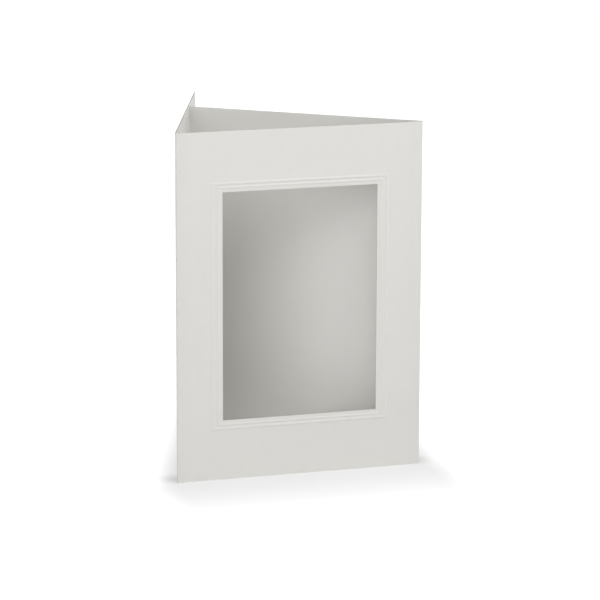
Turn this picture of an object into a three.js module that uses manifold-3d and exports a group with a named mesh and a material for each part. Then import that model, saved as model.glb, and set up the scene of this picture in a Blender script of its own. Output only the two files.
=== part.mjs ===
// A passe-partout card: one sheet of card with two folds, standing as an open triangle.
// The front panel has a window with two raised lines round it. Millimetres, +Z up.
// The origin is the middle of the card's outline on the surface it stands on, and the front
// panel looks along -Y.

import * as THREE from "three";
import { mergeVertices } from "three/addons/utils/BufferGeometryUtils.js";
import Module from "manifold-3d";

const wasm = await Module();
wasm.setup();

// The sheet
const cardHeight = 168;
const frontWidth = 121;
const backWidth = 121;
const flapWidth = 119;
const cardThickness = 0.3;
const foldInnerRadius = 0.4;
const foldSteps = 10;

// How it stands: the flap's free edge rests on the back panel, this far behind the left fold
const restDistance = 75;
const restClearance = 0.3;

// The window, in the middle of the front panel
const windowWidth = 76;
const windowHeight = 110;

// The two raised lines: the margins run from the window's edge to the crest of each line
const innerLineMargin = 2.2;
const innerLineWidth = 1.6;
const innerLineHeight = 0.14;
const outerLineSideMargin = 5;
const outerLineEndMargin = 4.05;
const outerLineWidth = 2;
const outerLineHeight = 0.18;
const lineSteps = 10;

const cardColour = "#e0dfdb";
const cardRoughness = 0.85;

const foldOuterRadius = foldInnerRadius + cardThickness;
const hingeSpacing = frontWidth - 2 * foldOuterRadius;
const backReach = backWidth - foldOuterRadius;
const flapReach = flapWidth - foldOuterRadius;

// Directions in plan, counted from +X. The centres of the two folds and the corner of the flap
// that rests on the back panel are the corners of a triangle, whose sides are known.
function standingAngles() {
  const flapCorner = Math.hypot(flapReach, foldInnerRadius);
  const footOffset = foldInnerRadius - restClearance;
  const foot = Math.hypot(restDistance, footOffset);
  const cornerAngle = (near, far, opposite) =>
    Math.acos((near * near + far * far - opposite * opposite) / (2 * near * far));
  const atLeftFold = cornerAngle(hingeSpacing, foot, flapCorner);
  const atRightFold = cornerAngle(hingeSpacing, flapCorner, foot);
  const back = atLeftFold - Math.atan2(footOffset, restDistance);
  const flap = Math.PI - atRightFold + Math.atan2(foldInnerRadius, flapReach);
  return { back, flap };
}

// The sheet's section seen from above. The front panel's front face lies on y = 0 and each fold
// is an arc about its own centre.
function sheetSection() {
  const { back, flap } = standingAngles();
  const leftFold = new THREE.Vector2(foldOuterRadius, foldOuterRadius);
  const rightFold = new THREE.Vector2(frontWidth - foldOuterRadius, foldOuterRadius);
  const quarter = Math.PI / 2;
  const backOutward = back + quarter;
  const flapOutward = flap - quarter;
  const front = -quarter;

  // A point on a panel's face: out from the fold's centre by the face's radius, then along the panel
  const facePoint = (fold, outward, radius, heading, reach) =>
    new THREE.Vector2(
      fold.x + radius * Math.cos(outward) + reach * Math.cos(heading),
      fold.y + radius * Math.sin(outward) + reach * Math.sin(heading),
    );

  const section = new THREE.Shape();
  const backEnds = [foldInnerRadius, foldOuterRadius].map((radius) =>
    facePoint(leftFold, backOutward, radius, back, backReach));
  const foldStart = facePoint(leftFold, backOutward, foldOuterRadius, back, 0);
  section.moveTo(backEnds[0].x, backEnds[0].y);
  section.lineTo(backEnds[1].x, backEnds[1].y);
  section.lineTo(foldStart.x, foldStart.y);
  section.absarc(leftFold.x, leftFold.y, foldOuterRadius, backOutward, front + 2 * Math.PI, false);
  section.absarc(rightFold.x, rightFold.y, foldOuterRadius, front, flapOutward, false);
  const flapEnds = [foldOuterRadius, foldInnerRadius].map((radius) =>
    facePoint(rightFold, flapOutward, radius, flap, flapReach));
  flapEnds.forEach((end) => section.lineTo(end.x, end.y));
  section.absarc(rightFold.x, rightFold.y, foldInnerRadius, flapOutward, front, true);
  section.absarc(leftFold.x, leftFold.y, foldInnerRadius, front + 2 * Math.PI, backOutward, true);
  section.closePath();
  return section;
}

// A closed geometry as a solid, with its shared vertices merged
function solid(geometry) {
  const plain = geometry.index ? geometry.toNonIndexed() : geometry.clone();
  plain.deleteAttribute("normal");
  plain.deleteAttribute("uv");
  const merged = mergeVertices(plain, 1e-5);
  return new wasm.Manifold(new wasm.Mesh({
    numProp: 3,
    vertProperties: merged.attributes.position.array,
    triVerts: new Uint32Array(merged.index.array),
  }));
}

function standingSheet() {
  const geometry = new THREE.ExtrudeGeometry(sheetSection(), {
    depth: cardHeight,
    curveSegments: Math.ceil(foldSteps / 2),
    bevelEnabled: false,
  });
  return solid(geometry);
}

// A rectangular ring of one section all round, with mitred corners: a lathe of four sides whose
// corners are moved out to the rectangle. The profile's points are the distance from the
// rectangle's edge and the rise towards the front, -Y.
function rectangularRing(profile, width, height) {
  const reach = Math.min(width, height) / 4;
  const points = profile.map(([offset, rise]) => new THREE.Vector2((reach + offset) * Math.SQRT2, -rise));
  const ring = new THREE.LatheGeometry(points, 4, Math.PI / 4);
  const position = ring.attributes.position;
  for (let i = 0; i < position.count; i += 1) {
    const x = position.getX(i);
    const z = position.getZ(i);
    position.setX(i, x + Math.sign(x) * (width / 2 - reach));
    position.setZ(i, z + Math.sign(z) * (height / 2 - reach));
  }
  ring.translate(frontWidth / 2, 0, cardHeight / 2);
  return solid(ring);
}

// The rise of a raised line across its width: a smooth hump
function humpPoints(lineWidth, lineHeight) {
  const points = [];
  for (let i = 0; i <= lineSteps; i += 1) {
    const share = i / lineSteps;
    const rise = lineHeight * 0.5 * (1 - Math.cos(2 * Math.PI * share));
    points.push([(share - 0.5) * lineWidth, rise]);
  }
  return points;
}

// One raised line: the hump on the front face, and the hollow of the same form behind it
function raisedLine(sheet, { sideMargin, endMargin, lineWidth, lineHeight }) {
  const width = windowWidth + 2 * sideMargin;
  const height = windowHeight + 2 * endMargin;
  const hump = humpPoints(lineWidth, lineHeight);
  const half = lineWidth / 2;
  const root = -cardThickness / 2;
  const behind = -2 * cardThickness;
  const ridge = [...hump, [half, root], [-half, root], hump[0]];
  const lowered = hump.map(([offset, rise]) => [offset, rise - cardThickness]);
  const hollow = [...lowered, [half, behind], [-half, behind], lowered[0]];
  return sheet
    .add(rectangularRing(ridge, width, height))
    .subtract(rectangularRing(hollow, width, height));
}

function windowCut() {
  const deep = 10 * cardThickness;
  const cut = new THREE.BoxGeometry(windowWidth, deep, windowHeight);
  cut.translate(frontWidth / 2, 0, cardHeight / 2);
  return solid(cut);
}

function foldedCard() {
  let sheet = standingSheet().subtract(windowCut());
  sheet = raisedLine(sheet, {
    sideMargin: innerLineMargin,
    endMargin: innerLineMargin,
    lineWidth: innerLineWidth,
    lineHeight: innerLineHeight,
  });
  sheet = raisedLine(sheet, {
    sideMargin: outerLineSideMargin,
    endMargin: outerLineEndMargin,
    lineWidth: outerLineWidth,
    lineHeight: outerLineHeight,
  });
  const result = sheet.getMesh();
  const geometry = new THREE.BufferGeometry();
  geometry.setAttribute("position", new THREE.BufferAttribute(result.vertProperties, 3));
  geometry.setIndex(new THREE.BufferAttribute(result.triVerts, 1));
  geometry.computeBoundingBox();
  const middle = geometry.boundingBox.getCenter(new THREE.Vector3());
  geometry.translate(-middle.x, -middle.y, 0);
  return geometry;
}

const material = new THREE.MeshStandardMaterial({
  color: cardColour,
  roughness: cardRoughness,
  metalness: 0,
});
const card = new THREE.Mesh(foldedCard(), material);
card.name = "folded_card";

const group = new THREE.Group();
group.add(card);

export default group;
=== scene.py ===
"""A passe-partout card on a white table: one sheet of card, cut, embossed, creased and folded."""

import math

import bpy
from mathutils import Euler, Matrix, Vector


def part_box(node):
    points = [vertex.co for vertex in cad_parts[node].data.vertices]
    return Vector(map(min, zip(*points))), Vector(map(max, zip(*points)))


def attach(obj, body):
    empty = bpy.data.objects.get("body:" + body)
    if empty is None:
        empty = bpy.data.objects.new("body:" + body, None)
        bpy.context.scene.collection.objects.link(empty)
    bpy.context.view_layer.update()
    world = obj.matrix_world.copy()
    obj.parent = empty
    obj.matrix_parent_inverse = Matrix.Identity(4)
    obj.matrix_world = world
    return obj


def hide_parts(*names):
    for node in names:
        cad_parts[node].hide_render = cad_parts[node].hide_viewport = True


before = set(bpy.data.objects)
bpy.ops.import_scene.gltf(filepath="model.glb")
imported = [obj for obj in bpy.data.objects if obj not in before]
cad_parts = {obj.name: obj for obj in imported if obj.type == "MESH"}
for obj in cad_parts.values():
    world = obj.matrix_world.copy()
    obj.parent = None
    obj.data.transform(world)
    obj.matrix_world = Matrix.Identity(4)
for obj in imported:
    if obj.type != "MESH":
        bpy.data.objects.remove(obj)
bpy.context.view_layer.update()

bl_info = {
    "name": "Passe-partout card",
    "version": (1, 0, 0),
    "blender": (4, 5, 0),
    "location": "View3D > Sidebar > Card",
    "description": "Makes a folded passe-partout card and the white table it stands on",
    "category": "Add Mesh",
}

MM = 0.001
CARD_LOW, CARD_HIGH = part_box("folded_card")

# How finely the flat sheet is divided: steps across a raised line and round a fold, and the
# longest step where the sheet is plain
LINE_STEPS = 16
FOLD_STEPS = 20
LONGEST_STEP = 8 * MM
# Points closer than this are one point of the sheet
WELD_DISTANCE = 0.001 * MM
# Faces that meet at more than this are parted by a cut
SHARP_ANGLE = math.radians(35)
# Steps across the rounding of a cut edge
ROUNDING_STEPS = 2
# The table runs this far from the card to each side, in metres
TABLE_REACH = 6.0
# A softbox hangs at least this far above the table
SOFTBOX_CLEARANCE = 20 * MM


def linear(hex_colour):
    """An sRGB hex colour as the linear values that shaders and lamps take."""
    channels = [int(hex_colour[i : i + 2], 16) / 255 for i in (1, 3, 5)]
    return tuple(
        c / 12.92 if c <= 0.04045 else ((c + 0.055) / 1.055) ** 2.4 for c in channels
    )


def length(name, description, default):
    """The settings of a length in metres, for a property."""
    return dict(
        name=name, description=description, default=default, min=0.0, precision=5, unit="LENGTH"
    )


def power(name, description, default):
    """The settings of a lamp's power in watts, for a property."""
    return dict(name=name, description=description, default=default, min=0.0, unit="POWER")


def brightness(name, description, default):
    """The settings of a brightness, for a property. One is as bright as white."""
    return dict(name=name, description=description, default=default, min=0.0)


def rotation(name, description, degrees):
    """The settings of an angle, for a property."""
    default = math.radians(degrees)
    return dict(name=name, description=description, default=default, unit="ROTATION")


def tint(name, description, hex_colour):
    """The settings of a colour, for a property."""
    default = linear(hex_colour)
    return dict(
        name=name, description=description, default=default, min=0.0, max=1.0, subtype="COLOR"
    )


class CardSizes(bpy.types.PropertyGroup):
    """The sizes of the sheet, its window and its raised lines."""

    height: bpy.props.FloatProperty(
        **length("Height", "Height of the sheet", CARD_HIGH.z - CARD_LOW.z)
    )
    front_width: bpy.props.FloatProperty(
        **length("Front width", "Front panel, fold to fold", CARD_HIGH.x - CARD_LOW.x)
    )
    back_width: bpy.props.FloatProperty(
        **length("Back width", "Back panel, fold to free edge", 121 * MM)
    )
    flap_width: bpy.props.FloatProperty(
        **length("Flap width", "Flap, fold to free edge", 119 * MM)
    )
    thickness: bpy.props.FloatProperty(
        **length("Thickness", "Thickness of the sheet", 0.3 * MM)
    )
    fold_radius: bpy.props.FloatProperty(
        **length("Fold radius", "Inner radius of both folds", 0.4 * MM)
    )
    rest_distance: bpy.props.FloatProperty(
        **length("Rest distance", "From the left fold to where the flap's edge rests", 75 * MM)
    )
    rest_clearance: bpy.props.FloatProperty(
        **length("Rest clearance", "Between the flap's edge and the back panel", 0.3 * MM)
    )
    window_width: bpy.props.FloatProperty(
        **length("Window width", "Width of the window", 76 * MM)
    )
    window_height: bpy.props.FloatProperty(
        **length("Window height", "Height of the window", 110 * MM)
    )
    inner_line_margin: bpy.props.FloatProperty(
        **length("Inner line margin", "From the window to the inner line's crest", 2.2 * MM)
    )
    inner_line_width: bpy.props.FloatProperty(
        **length("Inner line width", "Width of the inner raised line", 1.6 * MM)
    )
    outer_line_side_margin: bpy.props.FloatProperty(
        **length("Outer line side margin", "From the window's side to the outer line", 5 * MM)
    )
    outer_line_end_margin: bpy.props.FloatProperty(
        **length("Outer line end margin", "From the window's top to the outer line", 4.05 * MM)
    )
    outer_line_width: bpy.props.FloatProperty(
        **length("Outer line width", "Width of the outer raised line", 2 * MM)
    )
    inner_line_height: bpy.props.FloatProperty(
        **length("Inner line height", "How far the inner line stands out of the panel", 0.14 * MM)
    )
    outer_line_height: bpy.props.FloatProperty(
        **length("Outer line height", "How far the outer line stands out of the panel", 0.18 * MM)
    )
    edge_rounding: bpy.props.FloatProperty(
        **length("Edge rounding", "Rounding that the die leaves on the cut edges", 0.05 * MM)
    )


class CardFinish(bpy.types.PropertyGroup):
    """The colours of the card."""

    card_colour: bpy.props.FloatVectorProperty(
        **tint("Card", "Colour of the card's faces", "#E0DFDB")
    )
    # The cut edges' colour is much darker than the card's: the fibres' duller tone where they end,
    # and painted shade
    edge_colour_and_shade: bpy.props.FloatVectorProperty(
        **tint("Cut edge", "Colour of the cut edges, where fibres end", "#66645F")
    )


class StageSettings(bpy.types.PropertyGroup):
    """The table, the light and the camera."""

    table_colour: bpy.props.FloatVectorProperty(
        **tint("Table", "Colour of the table", "#F3F3F3")
    )
    table_shade: bpy.props.FloatProperty(
        name="Table shade",
        description="Share of the table's own light and shadow that the camera sees",
        default=0.3,
        min=0.0,
        max=1.0,
        subtype="FACTOR",
    )
    # The glow is lower near the card, which paints the soft shadow round its foot; the shadow
    # lengths below shape that painted shadow
    glow_at_card: bpy.props.FloatProperty(
        **brightness("Glow at the card", "White on top of that, at the card's foot", 0.57)
    )
    glow_away: bpy.props.FloatProperty(
        **brightness("Glow away from it", "White on top of that, where the shadow has ended", 0.9)
    )
    front_shadow: bpy.props.FloatProperty(
        **length("Front shadow", "How far the soft shadow reaches in front of the card", 90 * MM)
    )
    left_shadow: bpy.props.FloatProperty(
        **length("Left shadow", "How far it reaches beyond the back panel", 15 * MM)
    )
    right_shadow: bpy.props.FloatProperty(
        **length("Right shadow", "How far it reaches on the flap's side", 58 * MM)
    )
    corner_shadow: bpy.props.FloatProperty(
        **length("Corner shadow", "How far it reaches sideways from the front corners", 22 * MM)
    )
    # These three settings paint a contact shadow, a darker spot of the table at each corner of the
    # card
    contact_shadow: bpy.props.FloatProperty(
        **brightness("Contact shadow", "White that is lacking where the card's corners stand", 0.15)
    )
    contact_reach: bpy.props.FloatProperty(
        **length("Contact reach", "Radius of the contact shadow at a corner", 11.5 * MM)
    )
    contact_inset: bpy.props.FloatProperty(
        **length("Contact inset", "From a corner in to the middle of its contact shadow", 7 * MM)
    )
    room_light: bpy.props.FloatProperty(
        **brightness("Room light", "Level of the even light all round", 0.04)
    )
    front_light: bpy.props.FloatProperty(
        **power("Front light", "Softbox in front, high above and a little to the right", 6.15)
    )
    left_light: bpy.props.FloatProperty(
        **power("Left light", "Low softbox in front to the left", 9.5)
    )
    right_light: bpy.props.FloatProperty(
        **power("Right light", "Low softbox on the right", 7.6)
    )
    corner_light: bpy.props.FloatProperty(
        **power("Corner light", "Softbox in front to the right", 2.4)
    )
    back_light: bpy.props.FloatProperty(
        **power("Back light", "Low softbox behind the card, to its left", 8.5)
    )
    top_light: bpy.props.FloatProperty(
        **power("Top light", "Softbox overhead, a little behind the card", 3.0)
    )
    camera_azimuth: bpy.props.FloatProperty(
        **rotation("Camera azimuth", "Camera's turn from straight ahead, to the left", 16.951)
    )
    camera_elevation: bpy.props.FloatProperty(
        **rotation("Camera elevation", "Camera's height above the horizon", 12.898)
    )
    camera_roll: bpy.props.FloatProperty(
        **rotation("Camera roll", "Camera's turn about its own axis", 0.175)
    )
    camera_distance: bpy.props.FloatProperty(
        **length("Camera distance", "From the camera to the point it looks at", 1512.3 * MM)
    )
    aim_height: bpy.props.FloatProperty(
        **length("Aim height", "Height of the point on the front panel it looks at", 85.18 * MM)
    )
    aim_side: bpy.props.FloatProperty(
        name="Aim side",
        description="That point's distance to the right of the card's middle",
        default=-0.11 * MM,
        precision=5,
        unit="LENGTH",
    )
    camera_lens: bpy.props.FloatProperty(
        name="Camera lens",
        description="Focal length in millimetres, on a sensor 36 mm wide",
        default=191.74,
        min=1.0,
    )


def add_node(tree, kind, inputs=None, **settings):
    """Adds a node with its settings. An input is a value, or the socket that feeds it."""
    node = tree.nodes.new(kind)
    for name, value in settings.items():
        setattr(node, name, value)
    for key, value in (inputs or {}).items():
        if isinstance(value, bpy.types.NodeSocket):
            tree.links.new(value, node.inputs[key])
        else:
            node.inputs[key].default_value = value
    return node


def calculate(tree, operation, *values, clamp=False):
    """The result of a maths node on numbers."""
    inputs = dict(enumerate(values))
    node = add_node(tree, "ShaderNodeMath", inputs, operation=operation, use_clamp=clamp)
    return node.outputs[0]


def calculate_vector(tree, operation, *values):
    """The outputs of a maths node on vectors: "Vector", or "Value" where a number comes out."""
    inputs = dict(enumerate(values))
    return add_node(tree, "ShaderNodeVectorMath", inputs, operation=operation).outputs


def scale_vector(tree, vector, factor):
    """A vector times a number."""
    inputs = {0: vector, "Scale": factor}
    return add_node(tree, "ShaderNodeVectorMath", inputs, operation="SCALE").outputs["Vector"]


def combine(tree, **parts):
    """A vector from its parts X, Y and Z. A part that isn't given is nought."""
    return add_node(tree, "ShaderNodeCombineXYZ", parts).outputs[0]


def ramp(tree, value, at_start, at_end, start=0.0, end=1.0, smooth=False):
    """A level that goes from at_start to at_end while the value goes from start to end."""
    return add_node(
        tree,
        "ShaderNodeMapRange",
        {
            "Value": value,
            "From Min": start,
            "From Max": end,
            "To Min": at_start,
            "To Max": at_end,
        },
        interpolation_type="SMOOTHSTEP" if smooth else "LINEAR",
    ).outputs[0]


def standing_angles(sizes):
    """The directions in plan of the back panel and of the flap, counted from +X.

    The centres of the two folds and the corner of the flap that rests on the back panel are the
    corners of a triangle, whose sides are known.
    """
    outer_radius = sizes.fold_radius + sizes.thickness
    between_folds = sizes.front_width - 2 * outer_radius
    flap_reach = sizes.flap_width - outer_radius
    flap_corner = math.hypot(flap_reach, sizes.fold_radius)
    foot_offset = sizes.fold_radius - sizes.rest_clearance
    foot = math.hypot(sizes.rest_distance, foot_offset)

    def corner_angle(near, far, opposite):
        return math.acos((near**2 + far**2 - opposite**2) / (2 * near * far))

    at_left_fold = corner_angle(between_folds, foot, flap_corner)
    at_right_fold = corner_angle(between_folds, flap_corner, foot)
    back = at_left_fold - math.atan2(foot_offset, sizes.rest_distance)
    flap = math.pi - at_right_fold + math.atan2(sizes.fold_radius, flap_reach)
    return back, flap


def evenly(start, end, steps):
    """Stations from start to end, with both."""
    return [start + (end - start) * i / steps for i in range(steps + 1)]


def with_plain_steps(marks):
    """The marks in order, with stations between those that lie far apart."""
    marks = sorted(marks)
    stations = [marks[0]]
    for mark in marks[1:]:
        gap = mark - stations[-1]
        if gap > WELD_DISTANCE:
            stations.extend(evenly(stations[-1], mark, math.ceil(gap / LONGEST_STEP))[1:])
    return stations


def window_marks(sizes, half_window, margins):
    """Stations at the window's edges and across the raised lines, counted from its middle."""
    marks = [half_window]
    widths = (sizes.inner_line_width, sizes.outer_line_width)
    for margin, width in zip(margins, widths):
        crest = half_window + margin
        marks.extend(evenly(crest - width / 2, crest + width / 2, LINE_STEPS))
    return [side * mark for side in (-1, 1) for mark in marks]


def flat_sheet(sizes, left_turn, right_turn):
    """The sheet before it is folded, as a mesh of one layer in the XZ plane that faces back.

    X is the length along the middle of the sheet's thickness, from the middle of the front panel.
    """
    outer_radius = sizes.fold_radius + sizes.thickness
    bend_radius = sizes.fold_radius + sizes.thickness / 2
    hinge = sizes.front_width / 2 - outer_radius
    left_fold_end = -hinge - bend_radius * left_turn
    right_fold_end = hinge + bend_radius * right_turn
    side_margins = (sizes.inner_line_margin, sizes.outer_line_side_margin)
    end_margins = (sizes.inner_line_margin, sizes.outer_line_end_margin)
    middle = sizes.height / 2
    across = with_plain_steps(
        [left_fold_end - (sizes.back_width - outer_radius)]
        + evenly(left_fold_end, -hinge, FOLD_STEPS)
        + window_marks(sizes, sizes.window_width / 2, side_margins)
        + evenly(hinge, right_fold_end, FOLD_STEPS)
        + [right_fold_end + sizes.flap_width - outer_radius]
    )
    up = with_plain_steps(
        [0.0, sizes.height]
        + [middle + mark for mark in window_marks(sizes, sizes.window_height / 2, end_margins)]
    )
    points = [(x, 0.0, z) for z in up for x in across]
    faces = []
    for row in range(len(up) - 1):
        for column in range(len(across) - 1):
            first = row * len(across) + column
            face = [first, first + len(across), first + len(across) + 1, first + 1]
            # A face is split from its first corner, so that the mitres of the raised lines
            # run along a split
            outwards = (across[column] + across[column + 1]) * (up[row] + up[row + 1] - 2 * middle)
            if outwards < 0:
                face = face[1:] + face[:1]
            faces.append(face)
    mesh = bpy.data.meshes.new("flat_sheet")
    mesh.from_pydata(points, [], faces)
    return mesh


def rectangle_distance_group():
    """Nodes for the distance outside an upright rectangle, in the plane of the front panel."""
    tree = bpy.data.node_groups.new("Distance from a rectangle", "GeometryNodeTree")
    interface = tree.interface
    for name in ("Middle height", "Width", "Height"):
        interface.new_socket(name, in_out="INPUT", socket_type="NodeSocketFloat")
    interface.new_socket("Distance", in_out="OUTPUT", socket_type="NodeSocketFloat")
    given = add_node(tree, "NodeGroupInput").outputs
    position = add_node(tree, "GeometryNodeInputPosition").outputs["Position"]
    middle = combine(tree, Z=given["Middle height"])
    size = combine(tree, X=given["Width"], Z=given["Height"])
    half_size = scale_vector(tree, size, 0.5)
    offset = calculate_vector(tree, "SUBTRACT", position, middle)["Vector"]
    reach = calculate_vector(tree, "ABSOLUTE", offset)["Vector"]
    outside = calculate_vector(tree, "SUBTRACT", reach, half_size)["Vector"]
    parts = add_node(tree, "ShaderNodeSeparateXYZ", {0: outside}).outputs
    furthest = calculate(tree, "MAXIMUM", parts["X"], parts["Z"])
    add_node(tree, "NodeGroupOutput", {"Distance": furthest})
    return tree


def rectangle_distance(tree, group, given, width, height):
    """The distance outside a rectangle round the middle of the front panel."""
    middle = calculate(tree, "MULTIPLY", given["Height"], 0.5)
    inputs = {"Middle height": middle, "Width": given[width], "Height": given[height]}
    return add_node(tree, "GeometryNodeGroup", inputs, node_tree=group).outputs[0]


def keep_value(tree, geometry, name, value, domain):
    """Stores a value on the geometry under a name that the card's material reads."""
    return add_node(
        tree,
        "GeometryNodeStoreNamedAttribute",
        {"Geometry": geometry, "Name": name, "Value": value},
        data_type="FLOAT",
        domain=domain,
    ).outputs[0]


def compare(tree, operation, first, second):
    """Whether two numbers compare as the operation says."""
    return add_node(
        tree,
        "FunctionNodeCompare",
        {0: first, 1: second},
        data_type="FLOAT",
        operation=operation,
    ).outputs[0]


def cut_window(tree, sheet, given, rectangle):
    """Takes away the faces inside the window."""
    from_window = rectangle_distance(tree, rectangle, given, "Window width", "Window height")
    in_window = compare(tree, "LESS_THAN", from_window, 0.0)
    return add_node(
        tree,
        "GeometryNodeDeleteGeometry",
        {"Geometry": sheet, "Selection": in_window},
        domain="FACE",
    ).outputs[0]


def raise_lines(tree, sheet, given, rectangle):
    """Raises each line towards the front, -Y, as a smooth hump about its crest."""
    pressed = 0.0
    rise = 0.0
    for line in ("Inner line", "Outer line"):
        from_crest = rectangle_distance(tree, rectangle, given, f"{line} across", f"{line} up")
        offset = calculate(tree, "ABSOLUTE", from_crest)
        half_width = calculate(tree, "MULTIPLY", given[f"{line} width"], 0.5)
        share = ramp(tree, offset, 0.0, 1.0, start=half_width, end=0.0, smooth=True)
        pressed = calculate(tree, "ADD", share, pressed)
        rise = calculate(tree, "MULTIPLY_ADD", share, given[f"{line} height"], rise)
    sheet = keep_value(tree, sheet, "pressed", pressed, "POINT")
    forwards = calculate(tree, "MULTIPLY", rise, -1.0)
    offset = combine(tree, Y=forwards)
    return add_node(
        tree, "GeometryNodeSetPosition", {"Geometry": sheet, "Offset": offset}
    ).outputs[0]


def thicken(tree, sheet, thickness):
    """Gives the sheet its thickness: a back layer and a rim are pushed out of the front layer."""
    depth = combine(tree, Y=thickness)
    pushed = add_node(
        tree,
        "GeometryNodeExtrudeMesh",
        {"Mesh": sheet, "Offset": depth, "Individual": False},
        mode="FACES",
    ).outputs
    marked = keep_value(tree, pushed["Mesh"], "cut_edge", pushed["Side"], "FACE")
    front_layer = add_node(tree, "GeometryNodeFlipFaces", {"Mesh": sheet}).outputs[0]
    layers = add_node(tree, "GeometryNodeJoinGeometry", {"Geometry": marked})
    tree.links.new(front_layer, layers.inputs[0])
    return add_node(
        tree,
        "GeometryNodeMergeByDistance",
        {"Geometry": layers.outputs[0], "Distance": WELD_DISTANCE},
    ).outputs[0]


def fold(tree, sheet, given):
    """Bends the middle of the sheet's thickness about the centre of each fold."""
    position = add_node(tree, "GeometryNodeInputPosition").outputs["Position"]
    along = add_node(tree, "ShaderNodeSeparateXYZ", {0: position}).outputs["X"]
    half_spacing = calculate(tree, "MULTIPLY", given["Fold spacing"], 0.5)
    outer_radius = calculate(tree, "ADD", given["Fold radius"], given["Thickness"])
    bend_radius = calculate(tree, "MULTIPLY_ADD", given["Thickness"], 0.5, given["Fold radius"])
    angles = {}
    fold_shade = 0.0
    for side, turn in ((-1.0, given["Left turn"]), (1.0, given["Right turn"])):
        reach = calculate(tree, "MULTIPLY", along, side)
        past_fold = calculate(tree, "SUBTRACT", reach, half_spacing)
        bend = calculate(tree, "DIVIDE", past_fold, bend_radius)
        half_turn = calculate(tree, "MULTIPLY", turn, 0.5)
        from_middle = calculate(tree, "SUBTRACT", bend, half_turn)
        beside = calculate(tree, "ABSOLUTE", from_middle)
        share = ramp(tree, beside, 0.0, 1.0, start=turn, end=0.0, smooth=True)
        fold_shade = calculate(tree, "ADD", share, fold_shade)
        limits = {"Value": bend, "Min": 0.0, "Max": turn}
        angles[side] = add_node(tree, "ShaderNodeClamp", limits).outputs[0]
    # The share of each fold, where the material paints the card a little darker as painted shade
    sheet = keep_value(tree, sheet, "fold_shade", fold_shade, "POINT")
    for side, angle in angles.items():
        used = calculate(tree, "MULTIPLY", angle, bend_radius)
        drawn_in = calculate(tree, "MULTIPLY", used, -side)
        shift = combine(tree, X=drawn_in)
        straight = calculate_vector(tree, "ADD", position, shift)["Vector"]
        centre_x = calculate(tree, "MULTIPLY", half_spacing, side)
        centre = combine(tree, X=centre_x, Y=outer_radius)
        signed = calculate(tree, "MULTIPLY", angle, side)
        turned = add_node(
            tree,
            "ShaderNodeVectorRotate",
            {"Vector": straight, "Center": centre, "Angle": signed},
            rotation_type="Z_AXIS",
        ).outputs[0]
        sheet = add_node(
            tree, "GeometryNodeSetPosition", {"Geometry": sheet, "Position": turned}
        ).outputs[0]
    return sheet


def shade_smooth(tree, sheet):
    """Shades the card smooth, but not across the edges where it is cut."""
    smooth = add_node(tree, "GeometryNodeSetShadeSmooth", {"Geometry": sheet}).outputs[0]
    edge_angle = add_node(tree, "GeometryNodeInputMeshEdgeAngle").outputs["Unsigned Angle"]
    sharp = compare(tree, "GREATER_THAN", edge_angle, SHARP_ANGLE)
    return add_node(
        tree,
        "GeometryNodeSetShadeSmooth",
        {"Geometry": smooth, "Selection": sharp, "Shade Smooth": False},
        domain="EDGE",
    ).outputs[0]


def card_tree(material, names):
    """Nodes that make the flat sheet a card. The names are those of its sizes, as inputs."""
    tree = bpy.data.node_groups.new("Cut, emboss and fold a card", "GeometryNodeTree")
    interface = tree.interface
    interface.new_socket("Geometry", in_out="INPUT", socket_type="NodeSocketGeometry")
    for name in names:
        interface.new_socket(name, in_out="INPUT", socket_type="NodeSocketFloat")
    interface.new_socket("Geometry", in_out="OUTPUT", socket_type="NodeSocketGeometry")
    given = add_node(tree, "NodeGroupInput").outputs
    rectangle = rectangle_distance_group()
    sheet = cut_window(tree, given["Geometry"], given, rectangle)
    sheet = raise_lines(tree, sheet, given, rectangle)
    sheet = thicken(tree, sheet, given["Thickness"])
    sheet = fold(tree, sheet, given)
    sheet = shade_smooth(tree, sheet)
    realized = add_node(tree, "GeometryNodeRealizeInstances", {"Geometry": sheet}).outputs[0]
    finished = add_node(
        tree, "GeometryNodeSetMaterial", {"Geometry": realized, "Material": material}
    ).outputs[0]
    add_node(tree, "NodeGroupOutput", {"Geometry": finished})
    return tree


# The sizes and strengths of what shows on the card's surface. A fibre is 0.03 mm thick and the
# tooth is 0.1 to 0.2 mm across, but both are drawn coarser so that they show
CLOUD_SIZE = 4 * MM
CLOUD_CONTRAST = 0.006
FIBRE_LENGTH = 1.5 * MM
FIBRE_THICKNESS = 0.15 * MM
FIBRE_CONTRAST = 0.01
FIBRE_RELIEF = 0.4
TOOTH_SIZE = 0.35 * MM
RELIEF_DEPTH = 0.008 * MM
# A fold is painted this much darker, as painted shade
FOLD_SHADE_TONE = 0.97
PLAIN_ROUGHNESS = 0.88
PRESSED_ROUGHNESS = 0.7
CARD_IOR = 1.45
# Noise lies between these two levels nearly everywhere
NOISE_LOW = 0.3
NOISE_HIGH = 0.7


def noise(tree, vector, scale, **inputs):
    """The level of a noise texture."""
    inputs = {"Vector": vector, "Scale": scale, **inputs}
    return add_node(tree, "ShaderNodeTexNoise", inputs).outputs["Fac"]


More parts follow.
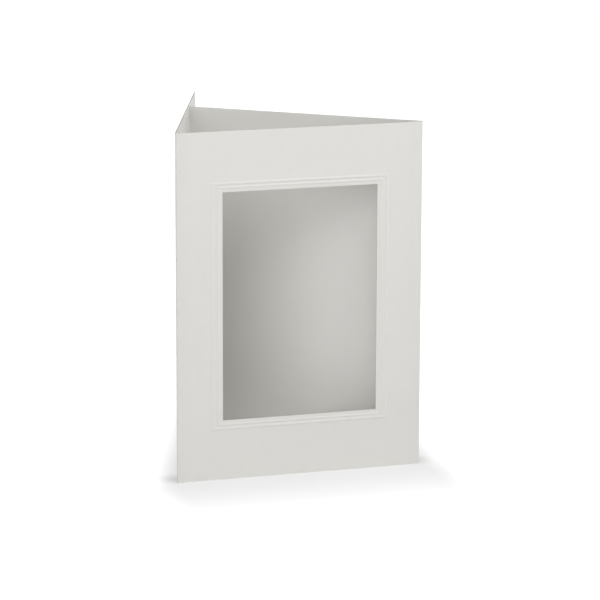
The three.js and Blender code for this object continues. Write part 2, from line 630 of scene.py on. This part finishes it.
def uncoated_card(finish):
    """Uncoated art card, dyed in the pulp and pressed smooth between felts.

    It is matt and off-white. Its tone is faintly cloudy where the fibres lie thicker, and its
    surface has a fine tooth. The raised lines are pressed by a die, which leaves them a little
    smoother. At a fold it is painted a little darker, as painted shade. A cut edge is painted much
    darker: partly the duller tone where the fibres end, partly painted shade.
    """
    material = bpy.data.materials.new("Uncoated off-white card")
    material.use_nodes = True
    tree = material.node_tree
    tree.nodes.clear()
    place = add_node(tree, "ShaderNodeTexCoord").outputs["Object"]

    def sheet_value(name):
        attribute = add_node(
            tree, "ShaderNodeAttribute", attribute_name=name, attribute_type="GEOMETRY"
        )
        return attribute.outputs["Fac"]

    def tone(level, contrast):
        return ramp(tree, level, 1 - contrast, 1 + contrast, start=NOISE_LOW, end=NOISE_HIGH)

    clouds = noise(tree, place, 1 / CLOUD_SIZE, Detail=3.0, Roughness=0.6)
    # Fibres are marks stretched along the sheet's grain, which runs upwards
    stretch = (1 / FIBRE_THICKNESS, 1 / FIBRE_THICKNESS, 1 / FIBRE_LENGTH)
    grain = add_node(tree, "ShaderNodeMapping", {"Vector": place, "Scale": stretch}).outputs[0]
    fibres = noise(tree, grain, 1.0, Detail=1.0, Distortion=0.6)
    cloudy = tone(clouds, CLOUD_CONTRAST)
    fibrous = tone(fibres, FIBRE_CONTRAST)
    # Painted shade: the folds are a little darker
    fold_shaded = ramp(tree, sheet_value("fold_shade"), 1.0, FOLD_SHADE_TONE)
    shade = calculate(tree, "MULTIPLY", cloudy, fibrous)
    shade = calculate(tree, "MULTIPLY", shade, fold_shaded)
    # Inputs 6 and 7 and output 2 are the colours of this node
    # Painted shade: the cut edges take a much darker colour, beside the fibres' duller tone there
    plain = add_node(
        tree,
        "ShaderNodeMix",
        {
            "Factor": sheet_value("cut_edge"),
            6: (*finish.card_colour, 1.0),
            7: (*finish.edge_colour_and_shade, 1.0),
        },
        data_type="RGBA",
    ).outputs[2]
    colour = scale_vector(tree, plain, shade)

    tooth = noise(tree, place, 1 / TOOTH_SIZE, Detail=2.0, Roughness=0.55)
    relief = calculate(tree, "MULTIPLY_ADD", fibres, FIBRE_RELIEF, tooth)
    bump = add_node(
        tree, "ShaderNodeBump", {"Height": relief, "Distance": RELIEF_DEPTH, "Strength": 1.0}
    )
    roughness = ramp(tree, sheet_value("pressed"), PLAIN_ROUGHNESS, PRESSED_ROUGHNESS)
    shader = add_node(
        tree,
        "ShaderNodeBsdfPrincipled",
        {
            "Base Color": colour,
            "Roughness": roughness,
            "IOR": CARD_IOR,
            "Normal": bump.outputs["Normal"],
        },
    )
    add_node(tree, "ShaderNodeOutputMaterial", {"Surface": shader.outputs[0]})
    return material


def shape_card(sizes, material):
    """The card's object, made by the node tree from the flat sheet and turned into a plain mesh."""
    back, flap = standing_angles(sizes)
    left_turn = math.pi - back
    card = bpy.data.objects.new("card_sheet", flat_sheet(sizes, left_turn, flap))
    bpy.context.scene.collection.objects.link(card)
    values = {
        "Height": sizes.height,
        "Thickness": sizes.thickness,
        "Fold radius": sizes.fold_radius,
        "Fold spacing": sizes.front_width - 2 * (sizes.fold_radius + sizes.thickness),
        "Left turn": left_turn,
        "Right turn": flap,
        "Window width": sizes.window_width,
        "Window height": sizes.window_height,
        "Inner line width": sizes.inner_line_width,
        "Inner line height": sizes.inner_line_height,
        "Inner line across": sizes.window_width + 2 * sizes.inner_line_margin,
        "Inner line up": sizes.window_height + 2 * sizes.inner_line_margin,
        "Outer line width": sizes.outer_line_width,
        "Outer line height": sizes.outer_line_height,
        "Outer line across": sizes.window_width + 2 * sizes.outer_line_side_margin,
        "Outer line up": sizes.window_height + 2 * sizes.outer_line_end_margin,
    }
    modifier = card.modifiers.new("Card", "NODES")
    tree = card_tree(material, values.keys())
    modifier.node_group = tree
    for item in tree.interface.items_tree:
        if item.in_out == "INPUT" and item.name in values:
            modifier[item.identifier] = values[item.name]
    evaluated = card.evaluated_get(bpy.context.evaluated_depsgraph_get())
    mesh = bpy.data.meshes.new_from_object(evaluated)
    card.modifiers.remove(modifier)
    card.data = mesh
    mesh.name = "card_sheet"
    return card


def place_card(card, sizes):
    """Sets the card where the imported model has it: middle of the front panel, on the table."""
    middle = (CARD_LOW.x + CARD_HIGH.x) / 2
    front_face = CARD_LOW.y + max(sizes.inner_line_height, sizes.outer_line_height)
    for vertex in card.data.vertices:
        vertex.co += Vector((middle, front_face, CARD_LOW.z))


class MakeCard(bpy.types.Operator):
    """Makes the card: one sheet with a window, two raised lines and two folds."""

    bl_idname = "card.make_card"
    bl_label = "Make the card"

    def execute(self, context):
        sizes = context.scene.card_sizes
        card = shape_card(sizes, uncoated_card(context.scene.card_finish))
        place_card(card, sizes)
        rounding = card.modifiers.new("Rounded cut edges", "BEVEL")
        rounding.width = sizes.edge_rounding
        rounding.segments = ROUNDING_STEPS
        rounding.limit_method = "ANGLE"
        rounding.angle_limit = SHARP_ANGLE
        rounding.harden_normals = True
        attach(card, "root")
        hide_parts("folded_card")
        return {"FINISHED"}


def white_for_camera(tree, lit, seen):
    """Mixes two shaders: what lights the scene, and what a camera or a mirror sees."""
    path = add_node(tree, "ShaderNodeLightPath").outputs
    mirrored = calculate(tree, "MAXIMUM", path["Is Glossy Ray"], path["Is Transmission Ray"])
    looked_at = calculate(tree, "MAXIMUM", path["Is Camera Ray"], mirrored)
    return add_node(tree, "ShaderNodeMixShader", {0: looked_at, 1: lit, 2: seen}).outputs[0]


def footprint_corners(sizes):
    """Where the left fold, the right fold and the back panel's free edge stand on the table."""
    back_angle = standing_angles(sizes)[0]
    left = Vector((CARD_LOW.x, CARD_LOW.y, 0.0))
    right = Vector((CARD_HIGH.x, CARD_LOW.y, 0.0))
    back = left + sizes.back_width * Vector((math.cos(back_angle), math.sin(back_angle), 0.0))
    return left, right, back


def shadow_sides(sizes, stage):
    """The lines on the table that the painted shadow starts from, in front, on the right and on the
    left.

    A line is its outward direction in plan, how far out it lies from the middle, and how far the
    painted shadow reaches from it.
    """
    left, right, back = footprint_corners(sizes)
    straight_back = Vector((0.0, 1.0, 0.0))

    def line(start, along, reach):
        along = along.normalized()
        outward = Vector((along.y, -along.x, 0.0))
        return outward, outward.dot(start), reach

    return (
        [line(left, right - left, stage.front_shadow)],
        [
            line(right, back - right, stage.right_shadow),
            line(right, straight_back, stage.corner_shadow),
        ],
        [
            line(left, left - back, stage.left_shadow),
            line(left, -straight_back, stage.corner_shadow),
        ],
    )


def glow_with_painted_shadow(tree, place, sizes, stage):
    """White that grows outwards from the card's foot; being less near the card, it paints a soft
    shadow.
    """
    shares = add_node(tree, "ShaderNodeCombineXYZ")
    for index, lines in enumerate(shadow_sides(sizes, stage)):
        share = 0.0
        for outward, offset, reach in lines:
            out = calculate_vector(tree, "DOT_PRODUCT", place, outward)["Value"]
            beyond = calculate(tree, "MULTIPLY_ADD", out, 1 / reach, -offset / reach, clamp=True)
            share = calculate(tree, "MAXIMUM", beyond, share)
        tree.links.new(share, shares.inputs[index])
    away = calculate_vector(tree, "LENGTH", shares.outputs[0])["Value"]
    return ramp(tree, away, stage.glow_at_card, stage.glow_away, smooth=True)


def painted_contact_shadows(tree, place, sizes, stage):
    """Painted contact shadow: white taken off in a small spot where each corner of the card stands.
    """
    nearest = stage.contact_reach
    for corner in footprint_corners(sizes):
        inset = Vector((0.0, math.copysign(stage.contact_inset, -corner.y), 0.0))
        distance = calculate_vector(tree, "DISTANCE", place, corner + inset)["Value"]
        nearest = calculate(tree, "MINIMUM", distance, nearest)
    return ramp(tree, nearest, -stage.contact_shadow, 0.0, end=stage.contact_reach, smooth=True)


def table_material(sizes, stage):
    """A matt white table top. The camera sees a share of its own light and shadow, and white.

    The white grows away from the card, so that the table's edge melts into the white room; by being
    less near the card's foot, it paints a soft shadow there. A little white is taken off where a
    corner stands, which paints a contact shadow.
    """
    material = bpy.data.materials.new("Matt white table")
    material.use_nodes = True
    tree = material.node_tree
    tree.nodes.clear()
    place = add_node(tree, "ShaderNodeTexCoord").outputs["Object"]
    painted_shadow_glow = glow_with_painted_shadow(tree, place, sizes, stage)
    contact = painted_contact_shadows(tree, place, sizes, stage)
    # Painted shadow: less white near the card's foot and at its corners
    level = calculate(tree, "ADD", painted_shadow_glow, contact)

    def matt(colour):
        inputs = {"Color": (*colour, 1.0), "Roughness": 1.0}
        return add_node(tree, "ShaderNodeBsdfDiffuse", inputs).outputs[0]

    lit = matt(stage.table_colour)
    shaded = matt(stage.table_shade * channel for channel in stage.table_colour)
    glow = add_node(tree, "ShaderNodeEmission", {"Strength": level}).outputs[0]
    seen = add_node(tree, "ShaderNodeAddShader", {0: shaded, 1: glow}).outputs[0]
    surface = white_for_camera(tree, lit, seen)
    add_node(tree, "ShaderNodeOutputMaterial", {"Surface": surface})
    return material


def room_world(stage):
    """Even light all round, which the camera sees as white."""
    world = bpy.data.worlds.new("White room")
    world.use_nodes = True
    tree = world.node_tree
    tree.nodes.clear()

    def even_light(level):
        inputs = {"Color": (1.0, 1.0, 1.0, 1.0), "Strength": level}
        return add_node(tree, "ShaderNodeBackground", inputs).outputs[0]

    surface = white_for_camera(tree, even_light(stage.room_light), even_light(1.0))
    add_node(tree, "ShaderNodeOutputWorld", {"Surface": surface})
    return world


def direction(azimuth, elevation):
    """A direction from the card. The azimuth runs from straight in front of it to its right."""
    return Vector(
        (
            math.sin(azimuth) * math.cos(elevation),
            -math.cos(azimuth) * math.cos(elevation),
            math.sin(elevation),
        )
    )


def add_softbox(name, azimuth, elevation, distance, width, watts):
    """A square softbox that looks at the middle of the card from a direction given in degrees.

    The distance and the width are in metres. A low softbox is lifted clear of the table.
    """
    aim = Vector((0.0, 0.0, (CARD_LOW.z + CARD_HIGH.z) / 2))
    place = aim + direction(math.radians(azimuth), math.radians(elevation)) * distance
    place.z = max(place.z, width / 2 + SOFTBOX_CLEARANCE)
    lamp = bpy.data.lights.new(name, "AREA")
    lamp.shape = "SQUARE"
    lamp.size = width
    lamp.energy = watts
    softbox = bpy.data.objects.new(name, lamp)
    softbox.location = place
    softbox.rotation_euler = (aim - place).to_track_quat("-Z", "Y").to_euler()
    bpy.context.scene.collection.objects.link(softbox)


def add_camera(stage):
    """The camera, in front of the card, to its left and above it."""
    middle = (CARD_LOW.x + CARD_HIGH.x) / 2
    aim = Vector((middle + stage.aim_side, CARD_LOW.y, stage.aim_height))
    back = direction(-stage.camera_azimuth, stage.camera_elevation)
    lens = bpy.data.cameras.new("camera")
    lens.lens = stage.camera_lens
    camera = bpy.data.objects.new("camera", lens)
    camera.location = aim + back * stage.camera_distance
    level = Euler((math.pi / 2 - stage.camera_elevation, 0.0, -stage.camera_azimuth))
    roll = Euler((0.0, 0.0, stage.camera_roll))
    camera.rotation_euler = (level.to_matrix() @ roll.to_matrix()).to_euler()
    bpy.context.scene.collection.objects.link(camera)
    bpy.context.scene.camera = camera


class MakeStage(bpy.types.Operator):
    """Makes the white table, the soft studio light and the camera."""

    bl_idname = "card.make_stage"
    bl_label = "Make the stage"

    def execute(self, context):
        stage = context.scene.card_stage
        sides = ((-1, -1), (1, -1), (1, 1), (-1, 1))
        corners = [(x * TABLE_REACH, y * TABLE_REACH, 0) for x, y in sides]
        mesh = bpy.data.meshes.new("table")
        mesh.from_pydata(corners, [], [(0, 1, 2, 3)])
        mesh.materials.append(table_material(context.scene.card_sizes, stage))
        table = bpy.data.objects.new("table", mesh)
        context.scene.collection.objects.link(table)
        context.scene.world = room_world(stage)
        add_softbox(
            "front_softbox",
            azimuth=18,
            elevation=60,
            distance=1.0,
            width=0.8,
            watts=stage.front_light,
        )
        add_softbox(
            "left_softbox",
            azimuth=-40,
            elevation=14,
            distance=1.5,
            width=1.2,
            watts=stage.left_light,
        )
        add_softbox(
            "corner_softbox",
            azimuth=55,
            elevation=35,
            distance=1.5,
            width=1.2,
            watts=stage.corner_light,
        )
        add_softbox(
            "right_softbox",
            azimuth=88,
            elevation=14,
            distance=1.5,
            width=1.0,
            watts=stage.right_light,
        )
        add_softbox(
            "back_softbox",
            azimuth=-155,
            elevation=15,
            distance=1.5,
            width=1.2,
            watts=stage.back_light,
        )
        add_softbox(
            "top_softbox",
            azimuth=180,
            elevation=72,
            distance=1.5,
            width=1.2,
            watts=stage.top_light,
        )
        add_camera(stage)
        context.scene.view_settings.view_transform = "Standard"
        return {"FINISHED"}


class CardPanel(bpy.types.Panel):
    """Sidebar panel with the card's sizes and colours and the stage's settings."""

    bl_idname = "VIEW3D_PT_card"
    bl_label = "Passe-partout card"
    bl_space_type = "VIEW_3D"
    bl_region_type = "UI"
    bl_category = "Card"

    def draw(self, context):
        scene = context.scene
        groups = (
            (scene.card_sizes, MakeCard),
            (scene.card_finish, None),
            (scene.card_stage, MakeStage),
        )
        for group, operator in groups:
            box = self.layout.box()
            for name in group.__annotations__:
                box.prop(group, name)
            if operator:
                box.operator(operator.bl_idname)


CLASSES = (CardSizes, CardFinish, StageSettings, MakeCard, MakeStage, CardPanel)


def register():
    """Adds the classes and the scene's settings to Blender."""
    for cls in CLASSES:
        bpy.utils.register_class(cls)
    bpy.types.Scene.card_sizes = bpy.props.PointerProperty(type=CardSizes)
    bpy.types.Scene.card_finish = bpy.props.PointerProperty(type=CardFinish)
    bpy.types.Scene.card_stage = bpy.props.PointerProperty(type=StageSettings)


def unregister():
    """Takes them away again."""
    del bpy.types.Scene.card_stage
    del bpy.types.Scene.card_finish
    del bpy.types.Scene.card_sizes
    for cls in reversed(CLASSES):
        bpy.utils.unregister_class(cls)


def main():
    register()
    bpy.ops.card.make_card()
    bpy.ops.card.make_stage()


if __name__ == "__main__":
    main()
